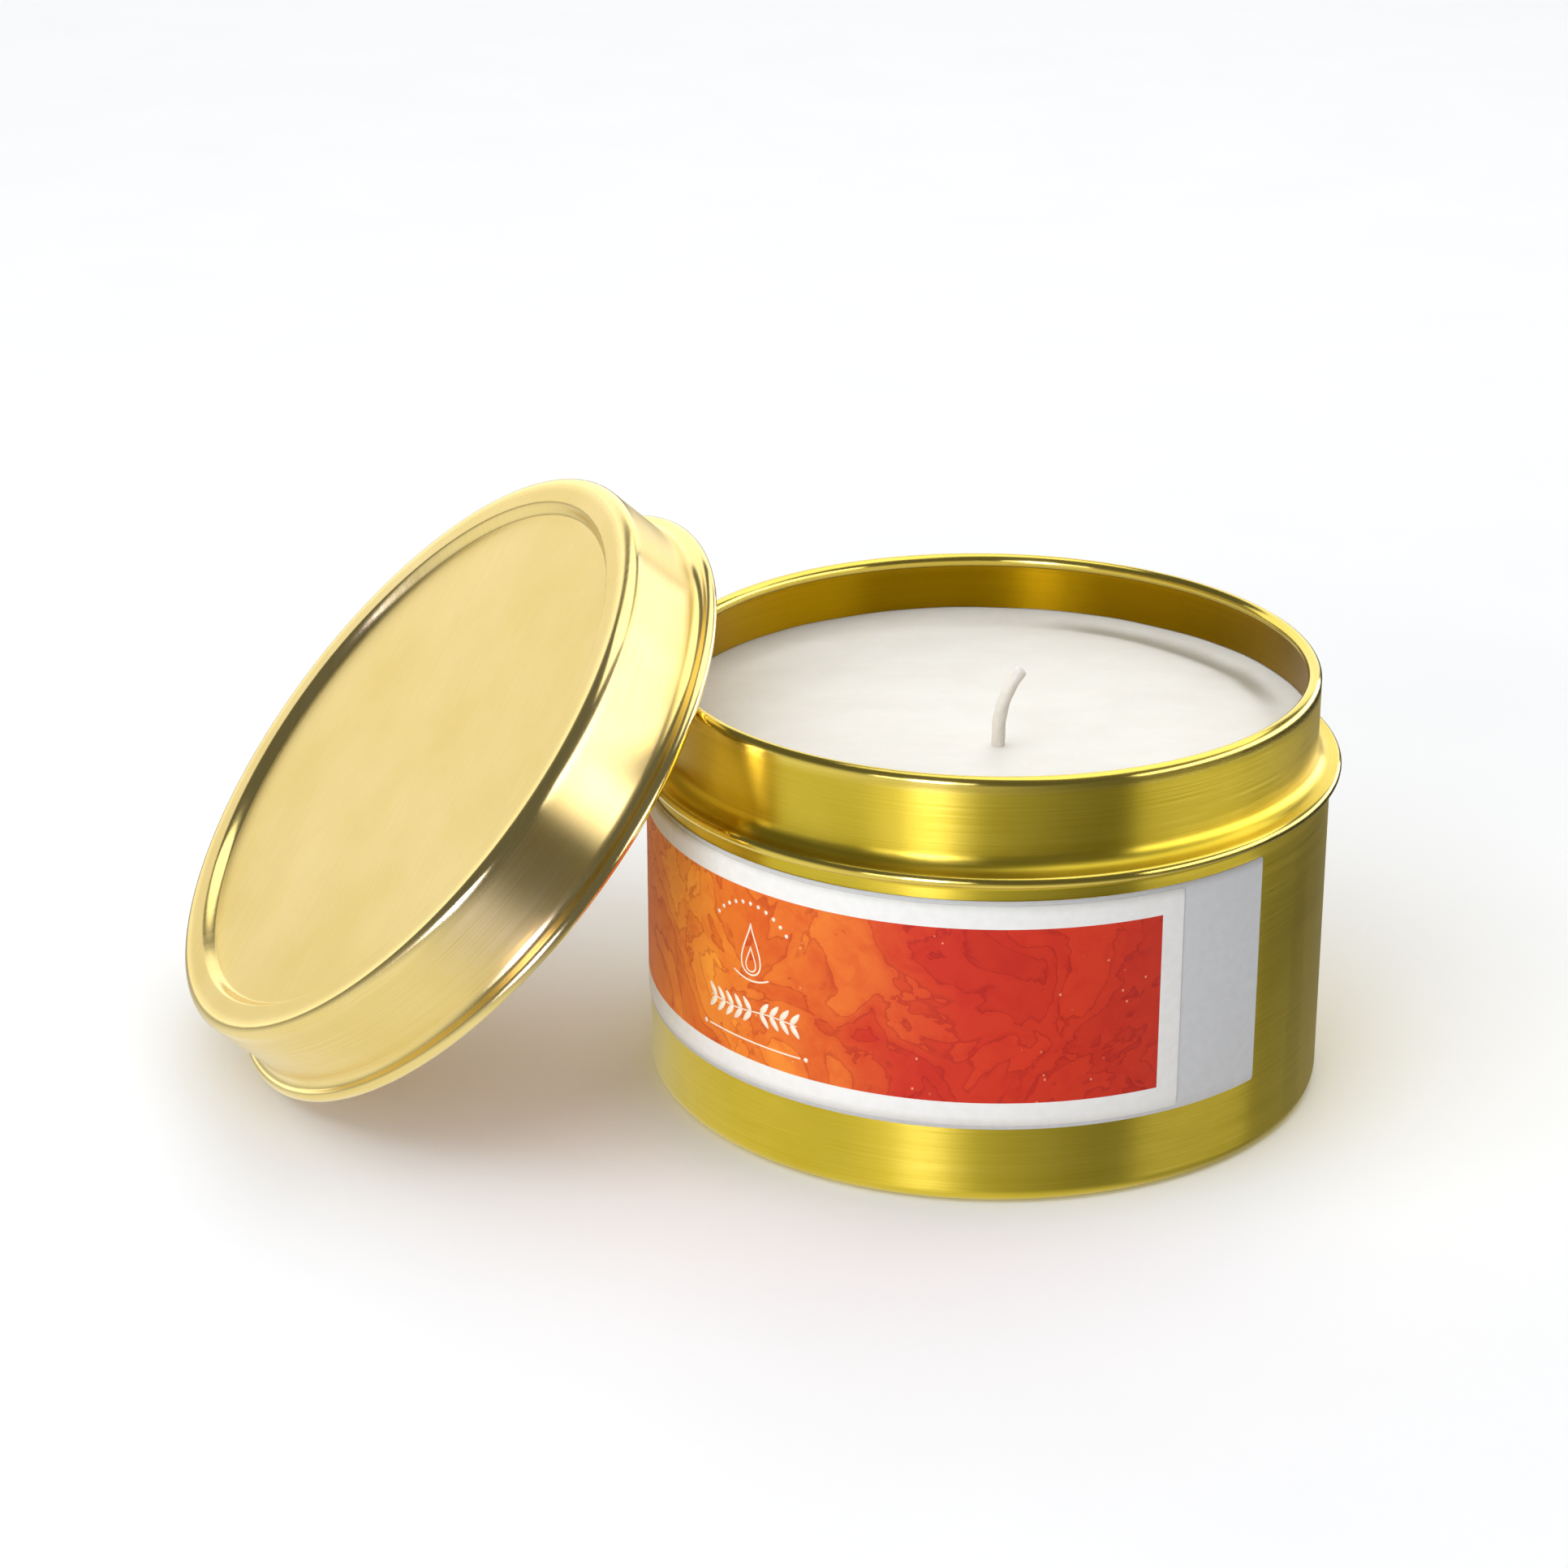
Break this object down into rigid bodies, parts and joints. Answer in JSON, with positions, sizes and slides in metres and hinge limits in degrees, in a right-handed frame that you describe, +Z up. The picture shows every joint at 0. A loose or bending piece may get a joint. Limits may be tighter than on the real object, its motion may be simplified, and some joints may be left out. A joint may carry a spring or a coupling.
{
  "type": "candle tin",
  "caption": "Round pressed candle tin filled with wax, with a wick, a wrap label and its slip lid leaning against the rim.",
  "frame": {"origin": "centre of the tin's base, on the surface it stands on", "axes": "+Z up along the tin's axis, -Y towards the label's side, -X towards the leaning lid"},
  "size_m": [0.1348, 0.0836, 0.0653],
  "materials": {
    "gold_tinplate": "tinplate with a clear gold lacquer over a fine brushed grain that runs round the tin",
    "lid_tinplate": "gold lacquered tinplate, brushed straight across the top and round the skirt",
    "wax": "poured soy wax, satin, faintly mottled",
    "wick_cotton": "braided cotton, waxed",
    "plain_tinplate": "plain bright tinplate",
    "adhesive_foam": "closed-cell adhesive foam",
    "label_paper": "matt white label stock",
    "printed_paper": "semi-matt print: white margins round an orange and red watercolour wash"
  },
  "bodies": {
    "tin": {"tin_body": "gold_tinplate", "wax_fill": "wax", "wick": "wick_cotton", "wick_sustainer": "plain_tinplate", "sustainer_sticker": "adhesive_foam", "label_stock": "label_paper", "printed_label": "printed_paper"},
    "lid": {"lid": "lid_tinplate"}
  },
  "joints": [
    {"name": "lid_tip", "type": "hinge", "parent": "tin", "child": "lid", "pos_m": [-0.08737, -0.00484, 0.0061], "axis": [0.309, -0.9511, 0], "range_deg": [0, 132.5]}
  ]
}
